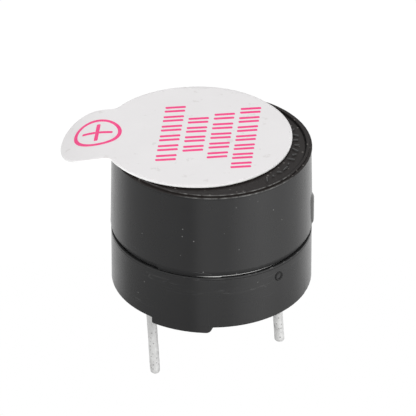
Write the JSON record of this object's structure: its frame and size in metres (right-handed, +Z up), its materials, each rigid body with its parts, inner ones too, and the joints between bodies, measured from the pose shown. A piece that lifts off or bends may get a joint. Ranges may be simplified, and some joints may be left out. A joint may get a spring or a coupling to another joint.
{
  "type": "magnetic buzzer",
  "caption": "Round self-driven magnetic buzzer: two-part moulded case on two straight pins, with a peel-off wash seal over its sound hole and an electromagnet and diaphragm inside.",
  "frame": {"origin": "middle of the two-pin pattern, in the plane of the board that the buzzer is mounted on", "axes": "+Z up out of the board through the sound hole, +X from the positive to the negative pin"},
  "size_m": [0.0149, 0.0125, 0.0161],
  "materials": {
    "case": "satin moulded black plastic",
    "seal": "matt coated sheet, printed",
    "adhesive": "soft pressure-sensitive adhesive",
    "resin": "poured black resin",
    "tin": "dull tin plating",
    "solder": "bright solder",
    "board": "coated glass-fibre laminate",
    "copper": "copper foil",
    "chip": "moulded transistor package",
    "resistor": "white alumina",
    "steel": "zinc-plated soft iron",
    "washer": "insulating card",
    "enamel": "enamelled copper wire",
    "magnet": "sintered ferrite",
    "support": "turned light alloy",
    "diaphragm": "rolled spring steel"
  },
  "bodies": {
    "root": {"upper_case": "case", "lower_case": "case", "seal_label": "seal", "seal_adhesive": "adhesive", "resin_fill": "resin", "positive_pin": "tin", "negative_pin": "tin", "positive_solder": "solder", "negative_solder": "solder", "circuit_board": "board", "board_copper": "copper", "transistor_body": "chip", "transistor_legs": "tin", "base_resistor": "resistor", "resistor_caps": "tin", "yoke_plate": "steel", "pole_core": "steel", "coil_washer": "washer", "drive_winding": "enamel", "feedback_winding": "enamel", "common_lead": "enamel", "drive_lead": "enamel", "feedback_lead": "enamel", "lead_solder": "solder", "ring_magnet": "magnet", "support_ring": "support", "diaphragm": "diaphragm", "armature_disc": "steel"}
  },
  "joints": []
}
